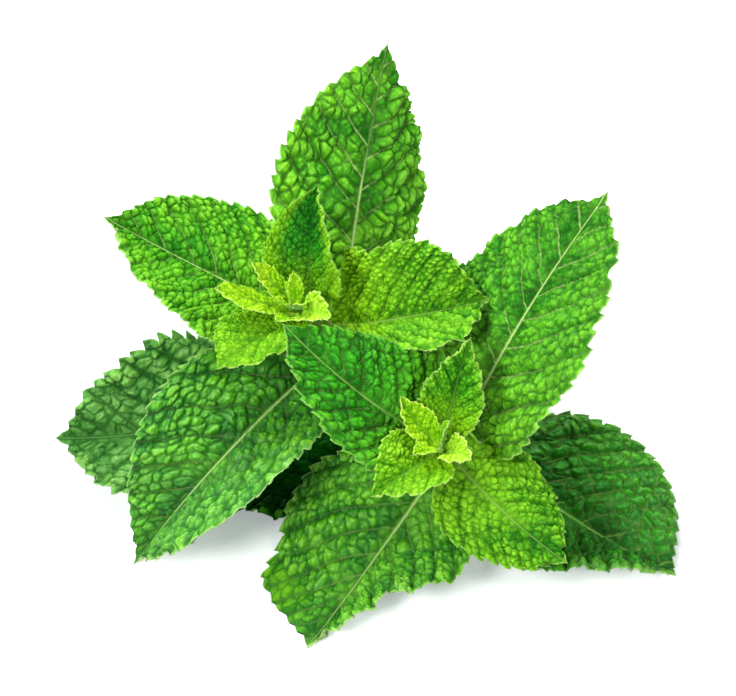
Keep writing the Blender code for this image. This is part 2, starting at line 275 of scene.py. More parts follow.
def drift(a, b, seed):
    """A smooth random height from -1 to 1, one hill to each unit."""
    ia = np.floor(a)
    ib = np.floor(b)
    ta = smooth(a - ia, 0, 1)
    tb = smooth(b - ib, 0, 1)
    low = scatter(ia, ib, seed) * (1 - ta) + scatter(ia + 1, ib, seed) * ta
    high = scatter(ia, ib + 1, seed) * (1 - ta) + scatter(ia + 1, ib + 1, seed) * ta
    return 2 * (low * (1 - tb) + high * tb) - 1


def cells(a, b, jitter, seed):
    """For places on a grid of irregular cells: how far from the middle, from the border,
    and the cell's own tone. Distances are shares of a cell."""
    ia = np.floor(a)
    ib = np.floor(b)
    nearest = np.full(a.shape, 9.0)
    second = np.full(a.shape, 9.0)
    tone = np.zeros(a.shape)
    for da in (-1, 0, 1):
        for db in (-1, 0, 1):
            ca = ia + da
            cb = ib + db
            x = ca + 0.5 + jitter * (scatter(ca, cb, seed) - 0.5) - a
            y = cb + 0.5 + jitter * (scatter(ca, cb, seed + 1) - 0.5) - b
            d = np.hypot(x, y)
            closer = d < nearest
            second = np.where(closer, nearest, np.minimum(second, d))
            tone = np.where(closer, scatter(ca, cb, seed + 2), tone)
            nearest = np.where(closer, d, nearest)
    return nearest, (second - nearest) / 2, tone


# ---- Stems: their routes and where a leaf sits on one

def smooth_route(route, step):
    """Points of a smooth curve through a route, about a step apart, tip last."""
    knots = np.array(route)
    knots = np.vstack([2 * knots[0] - knots[1], knots, 2 * knots[-1] - knots[-2]])
    points = []
    for i in range(1, len(knots) - 2):
        before, here, after, beyond = knots[i - 1:i + 3]
        count = max(2, round(np.linalg.norm((after - here)[:3]) / step))
        for t in np.arange(count) / count:
            points.append(0.5 * (
                2 * here + (after - before) * t
                + (2 * before - 5 * here + 4 * after - beyond) * t ** 2
                + (3 * here - before - 3 * after + beyond) * t ** 3))
    points.append(knots[-2])
    return np.array(points)


def place_on_stem(points, below):
    """Where a leaf pair sits on a stem: position, upward direction, half width."""
    from_tip = points[::-1]
    lengths = np.linalg.norm(np.diff(from_tip[:, :3], axis=0), axis=1)
    distance = np.concatenate([[0.0], np.cumsum(lengths)])
    here, lower = (
        np.array([np.interp(d, distance, from_tip[:, k]) for k in range(4)])
        for d in (below, below + 0.5))
    return here[:3], unit(here[:3] - lower[:3]), here[3]


# ---- The shape of a leaf before its fine relief

def turned(vector, axis, degrees):
    """vector turned about an axis that it is square to."""
    angle = np.radians(degrees)
    return vector * np.cos(angle) + np.cross(axis, vector) * np.sin(angle)


def leaf_axes(leaf, stem_points):
    """The leaf's base, its directions, and the way back into its stem."""
    position, stem_up, stem_half_width = place_on_stem(stem_points, leaf.below)
    heading = math.radians(leaf.heading)
    rise = math.radians(leaf.rise)
    along = np.array((
        math.cos(rise) * math.cos(heading),
        math.cos(rise) * math.sin(heading),
        math.sin(rise)))
    outward = unit(along - stem_up * along.dot(stem_up))
    base = position + outward * (stem_half_width * STEM_CORNER_REACH + STALK_CLEARANCE)
    up = np.array((0.0, 0.0, 1.0))
    up = turned(unit(up - along * along.dot(up)), along, leaf.roll)
    into_stem = -outward * (stem_half_width * (STEM_CORNER_REACH - 0.6) + STALK_CLEARANCE)
    return base, along, up, np.cross(along, up), into_stem


def outline_share(leaf, s):
    """The blade's half width at s along the leaf, as a share of its widest."""
    b = np.clip((s - STALK_SHARE) / (1 - STALK_SHARE), 0.0, 1.0)
    widest = leaf.belly / (leaf.belly + leaf.taper)
    peak = widest ** leaf.belly * (1 - widest) ** leaf.taper
    return b ** leaf.belly * (1 - b) ** leaf.taper / peak


def half_width(leaf, s, foot=0.0):
    """Half the width of the leaf at s, drawn out to a point over its last stretch."""
    stalk = STALK_HALF_WIDTH + STALK_WIDENING * leaf.width
    least = np.where(s < STALK_REACH_SHARE, stalk, TIP_HALF_WIDTH)
    share = outline_share(leaf, np.minimum(s, 1 - POINT_SHARE))
    widest = STALK_SHARE + (1 - STALK_SHARE) * leaf.belly / (leaf.belly + leaf.taper)
    share = np.where(s < widest, foot + (1 - foot) * share, share)
    left = np.clip((1 - s) / POINT_SHARE, 0.0, 1.0)
    power = leaf.taper + (1.25 - leaf.taper) * (1 - left)
    return np.maximum(least, leaf.width / 2 * share * left ** power)


# Where one half of a leaf is fuller or narrower than the other: which half, where along
# the leaf, over what share of it, and by what share of its width.
UNEVEN_HALVES = {
    "side_front_leaf": [(-1, 0.72, 0.22, -0.36), (1, 0.50, 0.30, 0.08), (1, 0.86, 0.12, 0.26)],
    "side_low_right_leaf": [(-1, 0.30, 0.15, -0.08), (-1, 0.72, 0.15, 0.07), (1, 0.70, 0.25, 0.19)],
    "main_far_left_leaf": [(1, 0.60, 0.12, 0.07), (1, 0.80, 0.10, -0.04), (1, 0.94, 0.06, 0.15)],
    "main_top_leaf": [(-1, 0.70, 0.25, 0.07), (1, 0.55, 0.30, 0.03)],
    "main_left_leaf": [
        (1, 0.30, 0.20, 0.05), (1, 0.85, 0.15, 0.06), (-1, 0.62, 0.18, -0.05), (-1, 0.30, 0.12, 0.10)],
    "side_back_leaf": [(-1, 0.60, 0.40, 0.06), (-1, 0.10, 0.16, 1.20), (1, 0.30, 0.12, -0.04)],
    "main_right_leaf": [(-1, 0.60, 0.40, 0.05), (-1, 0.02, 0.20, 1.10), (1, 0.04, 0.15, 0.5)],
    "side_upper_right_leaf": [(1, 0.60, 0.25, -0.08), (-1, 0.05, 0.18, 0.60)],
    "side_upper_left_leaf": [(1, 0.12, 0.20, 0.55)],
    "main_young_up_leaf": [(1, 0.10, 0.25, 0.60), (-1, 0.10, 0.25, 0.30)],
    "main_low_left_leaf": [(-1, 0.75, 0.15, 0.05)],
}

# How many degrees more or less one half of a leaf is lifted than the other.
UNEVEN_LIFTS = {"side_front_leaf": (1, -18), "main_low_left_leaf": (1, -14)}

# How much of its lift a stalkless leaf already has where it leaves the stem.
LIFTED_FEET = {"main_right_leaf": 0.85}


def uneven_share(leaf, s, v):
    share = np.ones_like(s)
    for half, middle, reach, change in UNEVEN_HALVES.get(leaf.name, []):
        share = share + np.where(v * half > 0, change * bell(s - middle, reach), 0.0)
    return share


def leaf_surface(leaf, axes, s, y, width):
    """Points in space for places s along the leaf and y across it."""
    base, along, up, side, into_stem = axes
    s = s[..., None]
    y = y[..., None]
    v = np.abs(y) / width[..., None]
    bow = 4 * s * (1 - s)
    bow_slope = 4 * (1 - 2 * s)
    middle = base + leaf.length * (along * s + (up * leaf.arch + side * leaf.sweep) * bow)
    tangent = unit(along + (up * leaf.arch + side * leaf.sweep) * bow_slope)
    upward = unit(up - tangent * (tangent * up).sum(-1, keepdims=True))
    upward = turned(upward, tangent, leaf.twist * s)
    sideways = np.cross(tangent, upward)
    half, more = UNEVEN_LIFTS.get(leaf.name, (1, 0))
    fold = leaf.fold + more * smooth(y * half, 0.0, 3.0)
    foot_lift = LIFTED_FEET.get(leaf.name, 0.0)
    lift = np.radians(fold + leaf.curl * v / 2) * np.clip(s / STALK_FLAT_SHARE, foot_lift, 1)
    height = np.sqrt(y * y + CREASE * CREASE) - CREASE
    joint_share = min(0.2, 4.0 / leaf.length)
    into = np.clip(1 - s / joint_share, 0, 1) ** 2
    return middle + sideways * y * np.cos(lift) + upward * height * np.sin(lift) + into_stem * into


# ---- The fine relief of a leaf

def toothed(leaf, build, s, v, width):
    """Moves the outermost part of the grid into teeth that lean towards the tip."""
    seed = len(leaf.name) + leaf.length
    u = s * leaf.length
    rows = u[:, 0]
    y = v * width
    for sign in (-1, 1):
        rim = width[:, 0] if sign < 0 else width[:, -1]
        path = np.concatenate([[0.0], np.cumsum(np.hypot(np.diff(rows), np.diff(rim)))])
        on_blade = path - np.interp(STALK_SHARE * leaf.length, rows, path)
        slope = np.gradient(rim, rows)
        length = np.hypot(1.0, slope)
        count = on_blade / build.tooth + 0.37 * sign
        count = count + 0.22 * drift(count * 0.9, 0 * count + sign, seed)
        index = np.floor(count)
        t = count - index
        size = 0.65 + 0.55 * scatter(index, 0 * index + sign, seed)
        peak = 0.76
        rising = np.clip(t / peak, 0, 1) ** 0.62
        falling = 1 - np.clip((t - peak) / (1 - peak), 0, 1) ** 0.8
        out = np.where(t < peak, rising, falling)
        lean = 0.17 * build.tooth * size * out ** 2
        present = smooth(s[:, 0], STALK_SHARE + 0.02, STALK_SHARE + 0.10)
        present = present * smooth(1 - s[:, 0], 0.0, 0.04) * smooth(rim, 0.6, 2.0)
        inward = build.notch * size * (1 - out) * present
        forward = lean * present
        band = np.clip(2.2 * build.notch / np.maximum(rim, 0.5), 0.05, 0.6)[:, None]
        weight = np.clip((v * sign - 1 + band) / band, 0, 1) ** 1.3
        du = (inward * slope / length + forward / length)[:, None] * weight
        dy = (-inward / length + forward * slope / length)[:, None] * weight
        u = u + du
        y = y + sign * dy
    return np.clip(u / leaf.length, 0, 1.02), y


def vein_phase(leaf, build, u, a, side):
    """A number that is whole on each side vein and grows towards the tip."""
    blade = leaf.length * (1 - STALK_SHARE)
    bend = 0.50 * a + 0.36 * a * a / (leaf.width / 2)
    start = (u - bend) / (blade + 0.6 * a)
    return build.pairs * (start + 0.02 * np.sin(6.3 * start + leaf.heading)) + 0.12 + 0.43 * side


VEIN_LEAN = math.radians(52)  # between the midrib and a side vein where it starts

# How irregular the domes are, from 0 to 1. Domes under the small width vary most.
SMALL_DOME = 1.4
SMALL_DOME_JITTER = 0.95
LARGE_DOME_JITTER = 0.80


def relief(leaf, build, u, y, width, v):
    """Height of the surface over the plain leaf, and the masks its colours use."""
    seed = 3.0 * leaf.length + leaf.below
    blade = leaf.length * (1 - STALK_SHARE)
    u = u - STALK_SHARE * leaf.length
    half = leaf.width / 2
    side = np.where(y < 0, 0.0, 1.0)
    a = np.abs(y)
    across = np.abs(v)
    wander = 0.5 * drift(u / 4, y / 4, seed)
    phase = vein_phase(leaf, build, u + wander, a, side)
    slope_u = (vein_phase(leaf, build, u + wander + 0.1, a, side) - phase) / 0.1
    slope_a = (vein_phase(leaf, build, u + wander, a + 0.1, side) - phase) / 0.1
    slope = np.hypot(slope_u, slope_a)
    part = phase - np.floor(phase)
    to_vein = np.minimum(part, 1 - part) / slope
    to_rib = np.maximum(a - 0.3 * build.rib, 0)

    gap = blade / build.pairs * math.sin(VEIN_LEAN)
    rows = max(2, round(gap / build.cell))
    crowded = a * (0.75 + 0.45 * a / half)
    down_vein = (u * math.cos(VEIN_LEAN) + crowded * math.sin(VEIN_LEAN)) / (1.2 * build.cell)
    bent_row = phase * rows + 0.24 * drift(u / 2.3, y / 2.3, seed + 3)
    bent_down = down_vein + 0.32 * drift(u / 2.3, y / 2.3, seed + 4) + 31 * side
    jitter = SMALL_DOME_JITTER if build.cell < SMALL_DOME else LARGE_DOME_JITTER
    middle, border, tone = cells(bent_row, bent_down, jitter, seed)
    fine_middle, fine_border, fine_tone = cells(
        bent_row * 2.1 + 0.4 * drift(u, y, seed + 6), bent_down * 2.1, 0.9, seed + 5)
    border = np.minimum(border, to_vein / build.cell)
    border = np.minimum(border, to_rib / build.cell)
    crease = 1 - (1 - np.clip(border / 0.14, 0, 1)) ** 2
    dome = np.clip(1 - 1.25 * middle ** 2, 0, 1) * (0.15 + 0.85 * crease)
    fine_crease = np.clip(fine_border / 0.25, 0, 1)
    pimple = np.clip(1 - 1.3 * fine_middle ** 2, 0, 1) * (0.3 + 0.7 * fine_crease)
    pimple = pimple * (0.4 + 0.6 * fine_tone)

    inner = 1 - smooth(across, 0.90, 1.0)
    ends = smooth(u, 0.0, 0.08 * blade) * smooth(blade - u, 0.0, 0.08 * blade)
    strength = (0.35 + 0.65 * inner) * (0.3 + 0.7 * ends)
    quilt = 1 - (1 - np.clip(to_vein * slope * 2, 0, 1)) ** 2
    quilt = quilt * smooth(a, 0.0, 0.25 * half)
    uneven = (0.5 + 0.8 * tone) * (0.8 + 0.2 * smooth(a, 0.1 * half, 0.6 * half))
    ridge = bell(y, 0.45 * build.rib)
    groove = bell(y, 1.3 * build.rib)
    height = strength * (
        build.quilt * (quilt - 0.5)
        + build.dome * dome * uneven
        + build.pimple * pimple)
    height = height * (1 - 0.7 * groove) - 0.40 * build.rib * groove * ends
    height = height + 0.22 * build.rib * ridge
    margin = across ** 3
    wave = np.sin(2 * np.pi * phase * 0.5 + seed) + 0.6 * drift(phase * 1.3, side * 7, seed)
    height = height + build.ruffle * margin * wave * ends
    height = height + 0.9 * build.ruffle * drift(u / 11, y / 9, seed + 9) * (1 - groove) * ends
    swell = 0.25 * build.dome * drift(u / 4.0, y / 4.0, seed + 12)
    height = height + swell * (1 - groove) * ends * inner

    near_rib = 1 - smooth(a, 0.1 * half, 0.85 * half)
    taper = 0.30 + 0.70 * smooth(blade - u, 0.15 * blade, 1.0 * blade)
    fade = RIB_FADES.get(leaf.name, PLAIN_RIB_FADE)
    pale_part = 1 - 0.8 * smooth(u, fade * blade, (fade + 0.2) * blade)
    masks = {
        "rib": bell(y, 0.42 * build.rib * taper) * pale_part,
        "vein": bell(to_vein, 0.13 * build.rib) * smooth(a, 0.0, 0.5) * (0.2 + 0.8 * near_rib),
        "net": bell(border, 0.07),
        # where painted shade darkens the furrows between the domes
        "crack": np.maximum(bell(border, 0.09), 0.55 * bell(fine_border, 0.10)) * inner,
        # the relief's height, which the colours use for painted shade in the low parts and painted
        # highlights on the dome tops
        "dome": 0.25 * quilt + 0.50 * dome * uneven / 1.3 + 0.25 * pimple,
        "tone": tone,
        "outer": smooth(across, 0.45, 0.95),
        "foot": 1 - smooth(u, 0.05 * blade, 0.50 * blade),
        "rim": smooth(across, 1 - 0.5 / np.maximum(width, 1.0), 1.0),
    }
    return height, masks


def leaf_mesh(leaf, build, axes):
    """The leaf as a closed thin shell, with its masks and a map of its two faces."""
    rows = int(leaf.length / build.grid) + 1
    columns = int(leaf.width / build.grid) // 2 * 2 + 1
    s, v = np.meshgrid(np.linspace(0, 1, rows), np.linspace(-1, 1, columns), indexing="ij")
    width = half_width(leaf, s, build.base) * uneven_share(leaf, s, v)
    ts, y = toothed(leaf, build, s, v, width)
    middle = leaf_surface(leaf, axes, ts, y, width)
    height, masks = relief(leaf, build, ts * leaf.length, y, width, v)

    toothless = leaf_surface(leaf, axes, s, v * width, width)
    du = np.gradient(toothless, axis=0)
    dv = np.gradient(toothless, axis=1)
    normal = unit(np.cross(du, dv))
    facing_down = (normal * axes[2]).sum() < 0
    normal = -normal if facing_down else normal
    edge = smooth(np.abs(v), 0.55, 1.0)
    thick = BLADE_THICKNESS + (MARGIN_THICKNESS - BLADE_THICKNESS) * edge
    to_tip = 1 - 0.75 * smooth(s, 0.05, 0.9)
    below = build.rib * to_tip * bell(y, 0.55 * build.rib * (0.5 + 0.5 * to_tip))
    under_vein = 0.16 * masks["vein"] + 0.07 * masks["net"]
    top = middle + normal * (height + thick / 2)[..., None]
    bottom = middle + normal * (height - thick / 2 - 0.75 * below - under_vein)[..., None]
    top = top + LAYOUT_TO_TABLE
    bottom = bottom + LAYOUT_TO_TABLE
    top[..., 2] = np.maximum(top[..., 2], TABLE_GAP + thick)
    bottom[..., 2] = np.maximum(bottom[..., 2], TABLE_GAP)

    count = rows * columns
    number = np.arange(count).reshape(rows, columns)
    quads = np.stack([number[:-1, :-1], number[1:, :-1], number[1:, 1:], number[:-1, 1:]], -1)
    upper = quads.reshape(-1, 4)
    lower = upper[:, ::-1] + count
    loop = np.concatenate([
        number[:-1, 0], number[-1, :-1], number[:0:-1, -1], number[0, :0:-1]])
    after = np.roll(loop, -1)
    sides = np.stack([after, loop, loop + count, after + count], -1)
    faces = np.concatenate([upper, lower, sides])
    faces = faces[:, ::-1] if facing_down else faces

    mesh = bpy.data.meshes.new(leaf.name)
    points = np.concatenate([top.reshape(-1, 3), bottom.reshape(-1, 3)]) * MM
    mesh.from_pydata(points.tolist(), [], faces.tolist())
    mesh.shade_smooth()
    masks["under"] = np.zeros_like(v)
    for name, values in masks.items():
        values = values.reshape(-1)
        other = np.ones(count) if name == "under" else values
        attribute = mesh.attributes.new(name, "FLOAT", "POINT")
        attribute.data.foreach_set("value", np.concatenate([values, other]).astype(np.float32))

    flat = np.stack([0.25 + 0.235 * v, 0.02 + 0.96 * s], -1).reshape(-1, 2)
    places = np.concatenate([flat, flat + (0.5, 0.0)])
    corners = np.empty(len(mesh.loops), np.int32)
    mesh.loops.foreach_get("vertex_index", corners)
    spots = places[corners]
    rim_corners = np.zeros(len(corners), bool)
    rim_corners[4 * (len(upper) + len(lower)):] = True
    low_rim = rim_corners & (corners >= count)
    across = v.reshape(-1)[corners % count]
    beyond = np.stack([0.008 * np.sign(across) * (np.abs(across) > 0.999), 0 * across], -1)
    spots[low_rim] = flat[corners[low_rim] % count] + beyond[low_rim]
    layer = mesh.uv_layers.new(name="OFBake")
    layer.data.foreach_set("uv", spots.astype(np.float32).ravel())
    return mesh


# ---- Materials

def daylight(colour):
    """A colour as it looks, made into the amounts of light that shaders take."""
    linear = [c / 12.92 if c <= 0.04045 else ((c + 0.055) / 1.055) ** 2.4 for c in colour]
    return (*linear, 1.0)


def new_group(name, takes, gives):
    group = bpy.data.node_groups.new(name, "ShaderNodeTree")
    for socket, kind in takes:
        group.interface.new_socket(socket, in_out="INPUT", socket_type=kind)
    for socket, kind in gives:
        group.interface.new_socket(socket, in_out="OUTPUT", socket_type=kind)
    enter = group.nodes.new("NodeGroupInput")
    leave = group.nodes.new("NodeGroupOutput")
    return group, enter, leave


def blend_node(nodes, links, mode, amount, first, second):
    """A colour mix; each argument is a socket or a fixed value."""
    node = nodes.new("ShaderNodeMix")
    node.data_type = "RGBA"
    node.blend_type = mode
    node.clamp_factor = True
    for key, value in ((0, amount), (6, first), (7, second)):
        if isinstance(value, bpy.types.NodeSocket):
            links.new(value, node.inputs[key])
        else:
            node.inputs[key].default_value = value
    return node.outputs[2]


def maths(nodes, links, operation, *values):
    node = nodes.new("ShaderNodeMath")
    node.operation = operation
    for key, value in enumerate(values):
        if isinstance(value, bpy.types.NodeSocket):
            links.new(value, node.inputs[key])
        else:
            node.inputs[key].default_value = value
    return node.outputs[0]


def ramp_node(nodes, links, value, low, high, low_out=0.0, high_out=1.0):
    node = nodes.new("ShaderNodeMapRange")
    node.interpolation_type = "SMOOTHSTEP"
    links.new(value, node.inputs["Value"])
    node.inputs["From Min"].default_value = low
    node.inputs["From Max"].default_value = high
    node.inputs["To Min"].default_value = low_out
    node.inputs["To Max"].default_value = high_out
    return node.outputs["Result"]


def noise_node(nodes, links, scale, detail=2.0):
    place = nodes.new("ShaderNodeTexCoord")
    node = nodes.new("ShaderNodeTexNoise")
    node.inputs["Scale"].default_value = scale
    node.inputs["Detail"].default_value = detail
    links.new(place.outputs["Object"], node.inputs["Vector"])
    return node.outputs["Fac"]


GREEN_SOCKETS = ("Groove", "Body", "Top", "Rib")
PALE_SOCKETS = ("Pale Midrib", "Pale Veins", "Pale Net")
YELLOW_SOCKETS = ("Yellow Foot", "Yellow Margin")

# Tints that every leaf shares, as they look in daylight. SUNLIT_GREEN is a painted
# highlight on the domes near the margins.
SUNLIT_GREEN = (0.60, 0.90, 0.20)
YELLOW_EDGE = (0.58, 0.84, 0.06)
YELLOW_BASE = (0.68, 0.92, 0.07)
UNDERSIDE = (0.62, 0.74, 0.50)
UNDERSIDE_VEINS = (0.72, 0.82, 0.56)


def leaf_tissue_group():
    """Turns a leaf's masks and its four greens into the colour of its surface, with painted
    shade in its grooves and furrows and painted highlights on its domes.
    """
    colour = "NodeSocketColor"
    value = "NodeSocketFloat"
    takes = [(name, colour) for name in GREEN_SOCKETS]
    takes = takes + [(name, value) for name in PALE_SOCKETS + YELLOW_SOCKETS + ("Cracks",)]
    gives = [("Colour", colour), ("Dullness", value)]
    group, enter, leave = new_group("leaf tissue", takes, gives)
    nodes, links = group.nodes, group.links
    mask = {}
    for name in ("dome", "crack", "outer", "foot", "vein", "net", "rib", "rim", "tone", "under"):
        node = nodes.new("ShaderNodeAttribute")
        node.attribute_name = name
        mask[name] = node.outputs["Fac"]
    patches = noise_node(nodes, links, 130.0, 3.0)
    specks = noise_node(nodes, links, 900.0, 2.0)
    # painted shade and painted highlight: the low parts of the relief take the dark groove colour and
    # the dome tops the light top colour
    low = ramp_node(nodes, links, mask["dome"], 0.14, 0.50)
    high = ramp_node(nodes, links, mask["dome"], 0.40, 0.80, 0.0, 0.85)
    made = blend_node(nodes, links, "MIX", low, enter.outputs["Groove"], enter.outputs["Body"])
    made = blend_node(nodes, links, "MIX", high, made, enter.outputs["Top"])
    light = ramp_node(nodes, links, patches, 0.42, 0.68, 0.0, 0.50)
    made = blend_node(nodes, links, "MIX", light, made, enter.outputs["Top"])
    shade = noise_node(nodes, links, 85.0, 2.0)
    shade = ramp_node(nodes, links, shade, 0.50, 0.70, 0.0, 0.32)
    made = blend_node(nodes, links, "MIX", shade, made, enter.outputs["Groove"])
    dark = ramp_node(nodes, links, specks, 0.52, 0.75, 0.0, 0.15)
    made = blend_node(nodes, links, "MIX", dark, made, enter.outputs["Groove"])
    cell = maths(nodes, links, "MULTIPLY", mask["tone"], 0.22)
    made = blend_node(nodes, links, "MIX", cell, made, enter.outputs["Top"])
    # painted highlight: the dome tops towards the margins are lightened towards SUNLIT_GREEN
    sunlit = maths(nodes, links, "MULTIPLY", high, 0.35)
    outer = maths(nodes, links, "MULTIPLY", mask["outer"], sunlit)
    made = blend_node(nodes, links, "MIX", outer, made, daylight(SUNLIT_GREEN))
    margin = maths(nodes, links, "MULTIPLY", mask["outer"], enter.outputs["Yellow Margin"])
    raised = ramp_node(nodes, links, mask["dome"], 0.1, 0.5, 0.5, 1.0)
    margin = maths(nodes, links, "MULTIPLY", margin, raised)
    made = blend_node(nodes, links, "MIX", margin, made, daylight(YELLOW_EDGE))
    # the leaf's own yellow at its foot; on main_right_leaf it is also painted light over its shaded
    # foot
    foot = maths(nodes, links, "MULTIPLY", mask["foot"], enter.outputs["Yellow Foot"])
    raised = ramp_node(nodes, links, mask["dome"], 0.1, 0.5, 0.35, 1.0)
    foot = maths(nodes, links, "MULTIPLY", foot, raised)
    made = blend_node(nodes, links, "MIX", foot, made, daylight(YELLOW_BASE))
    # painted shade: the furrows between the domes are darkened towards the groove colour
    crack = maths(nodes, links, "MULTIPLY", mask["crack"], enter.outputs["Cracks"])
    made = blend_node(nodes, links, "MIX", crack, made, enter.outputs["Groove"])
    lines = maths(nodes, links, "MULTIPLY", mask["vein"], enter.outputs["Pale Veins"])
    made = blend_node(nodes, links, "MIX", lines, made, enter.outputs["Rib"])
    net = maths(nodes, links, "MULTIPLY", mask["net"], enter.outputs["Pale Net"])
    made = blend_node(nodes, links, "MIX", net, made, enter.outputs["Rib"])
    rib = maths(nodes, links, "MULTIPLY", mask["rib"], enter.outputs["Pale Midrib"])
    made = blend_node(nodes, links, "MIX", rib, made, enter.outputs["Rib"])
    edge = maths(nodes, links, "MULTIPLY", mask["rim"], 0.6)
    made = blend_node(nodes, links, "MIX", edge, made, enter.outputs["Rib"])
    pale = blend_node(nodes, links, "MIX", 0.45, made, daylight(UNDERSIDE))
    net = maths(nodes, links, "MULTIPLY", mask["net"], 0.5)
    pale = blend_node(nodes, links, "MIX", net, pale, daylight(UNDERSIDE_VEINS))
    made = blend_node(nodes, links, "MIX", mask["under"], made, pale)
    links.new(made, leave.inputs["Colour"])
    dull = ramp_node(nodes, links, mask["dome"], 0.20, 0.70, 0.45, 0.0)
    links.new(dull, leave.inputs["Dullness"])
    return group


def leaf_grain_group():
    """The finest roughness of a leaf: tiny pits and swellings, and its sheen."""
    value = "NodeSocketFloat"
    group, enter, leave = new_group(
        "leaf grain", [("Grain Size", value)], [("Height", value), ("Roughness", value)])
    nodes, links = group.nodes, group.links
    place = nodes.new("ShaderNodeTexCoord")
    bubbles = nodes.new("ShaderNodeTexVoronoi")
    bubbles.feature = "SMOOTH_F1"
    links.new(place.outputs["Object"], bubbles.inputs["Vector"])
    scale = maths(nodes, links, "DIVIDE", 1.0, enter.outputs["Grain Size"])
    links.new(scale, bubbles.inputs["Scale"])
    fine = noise_node(nodes, links, 2600.0, 2.0)
    bubble = maths(nodes, links, "MULTIPLY", bubbles.outputs["Distance"], -1.0)
    fine = maths(nodes, links, "MULTIPLY", fine, 0.35)
    height = maths(nodes, links, "ADD", bubble, fine)
    links.new(height, leave.inputs["Height"])
    gloss = noise_node(nodes, links, 400.0, 2.0)
    rough = ramp_node(nodes, links, gloss, 0.3, 0.7, 0.34, 0.46)
    links.new(rough, leave.inputs["Roughness"])
    return group


# How much of the light falling on a leaf goes through it, by its age.
SHINE_THROUGH = {"old_leaf": 0.08, "grown_leaf": 0.12, "young_leaf": 0.20}

# How bright light comes through a leaf, in red, green and blue, next to its own colour.
SHINE_THROUGH_TINT = (1.5, 1.4, 0.5, 1.0)
LARGE_LEAF = 40  # from this length on, a leaf has the coarsest grain
FINEST_GRAIN = 0.30
GRAIN_GROWTH = 0.20
GRAIN_HEIGHT = 0.16


def leaf_material(leaf, build, greens, slot, tissue, grain):
    material = bpy.data.materials.new(leaf.name + " skin")
    material.use_nodes = True
    nodes, links = material.node_tree.nodes, material.node_tree.links
    shader = nodes["Principled BSDF"]
    output = nodes["Material Output"]
    colour = nodes.new("ShaderNodeGroup")
    colour.node_tree = tissue
    for socket, value in zip(GREEN_SOCKETS, greens):
        colour.inputs[socket].default_value = daylight(value)
    for socket, value in zip(PALE_SOCKETS, PALE_VEINS.get(leaf.name, PLAIN_VEINS)):
        colour.inputs[socket].default_value = value
    colour.inputs["Yellow Foot"].default_value = YELLOW_AND_LIT_FOOT.get(leaf.name, 0.0)
    colour.inputs["Yellow Margin"].default_value = YELLOW_MARGIN.get(leaf.name, 0.0)
    colour.inputs["Cracks"].default_value = build.crack
    surface = nodes.new("ShaderNodeGroup")
    surface.node_tree = grain
    grain_size = FINEST_GRAIN + GRAIN_GROWTH * min(1.0, leaf.length / LARGE_LEAF)
    surface.inputs["Grain Size"].default_value = grain_size * MM
    links.new(colour.outputs["Colour"], shader.inputs["Base Color"])
    rough = maths(nodes, links, "ADD", surface.outputs["Roughness"], colour.outputs["Dullness"])
    links.new(rough, shader.inputs["Roughness"])
    shader.inputs["Specular IOR Level"].default_value = SHINY.get(leaf.name, PLAIN_SHINE)
    bump = nodes.new("ShaderNodeBump")
    bump.inputs["Strength"].default_value = 0.5
    bump.inputs["Distance"].default_value = GRAIN_HEIGHT * MM
    links.new(surface.outputs["Height"], bump.inputs["Height"])
    links.new(bump.outputs["Normal"], shader.inputs["Normal"])
    through = nodes.new("ShaderNodeBsdfTranslucent")
    glow = blend_node(nodes, links, "MULTIPLY", 1.0, colour.outputs["Colour"], SHINE_THROUGH_TINT)
    links.new(glow, through.inputs["Color"])
    mix = nodes.new("ShaderNodeMixShader")
    mix.inputs["Fac"].default_value = SHINE_THROUGH[slot]
    links.new(shader.outputs["BSDF"], mix.inputs[1])
    links.new(through.outputs["BSDF"], mix.inputs[2])
    links.new(mix.outputs["Shader"], output.inputs["Surface"])
    return material


STEM_SHADE = (0.30, 0.48, 0.14)
STEM_GREEN = (0.52, 0.66, 0.26)
CORNER_RED = (0.42, 0.28, 0.16)
JOINT_RED = (0.45, 0.32, 0.20)
CUT_PITH = (0.80, 0.84, 0.62)
DOWN_HEIGHT = 0.08


def stem_material():
    """Square green stem: reddish along its corners and joints, downy, pale where cut."""
    material = bpy.data.materials.new("stem skin")
    material.use_nodes = True
    nodes, links = material.node_tree.nodes, material.node_tree.links
    shader = nodes["Principled BSDF"]
    mask = {}
    for name in ("corner", "joint", "cut"):
        node = nodes.new("ShaderNodeAttribute")
        node.attribute_name = name
        mask[name] = node.outputs["Fac"]
    streaks = noise_node(nodes, links, 260.0, 3.0)
    light = ramp_node(nodes, links, streaks, 0.35, 0.7)
    green = blend_node(nodes, links, "MIX", light, daylight(STEM_SHADE), daylight(STEM_GREEN))
    red = maths(nodes, links, "MULTIPLY", mask["corner"], 0.25)
    green = blend_node(nodes, links, "MIX", red, green, daylight(CORNER_RED))
    red = maths(nodes, links, "MULTIPLY", mask["joint"], 0.15)
    green = blend_node(nodes, links, "MIX", red, green, daylight(JOINT_RED))
    green = blend_node(nodes, links, "MIX", mask["cut"], green, daylight(CUT_PITH))
    links.new(green, shader.inputs["Base Color"])
    fuzz = noise_node(nodes, links, 3000.0, 2.0)
    links.new(ramp_node(nodes, links, fuzz, 0.3, 0.7, 0.42, 0.62), shader.inputs["Roughness"])
    bump = nodes.new("ShaderNodeBump")
    bump.inputs["Strength"].default_value = 0.5
    bump.inputs["Distance"].default_value = DOWN_HEIGHT * MM
    links.new(fuzz, bump.inputs["Height"])
    links.new(bump.outputs["Normal"], shader.inputs["Normal"])
    return material


# ---- Stem meshes

STEM_SIDES = 48
STEM_RING = 0.5
CUT_RINGS = 6


def stem_outline(turn):
    """Distance from the axis to the skin of a square stem with ridged corners."""
    quarter = np.abs((turn % (np.pi / 2)) - np.pi / 4)
    corner = 1 - quarter / (np.pi / 4)
    return 0.96 + 0.26 * (1 - corner) ** 2.2, 1 - corner


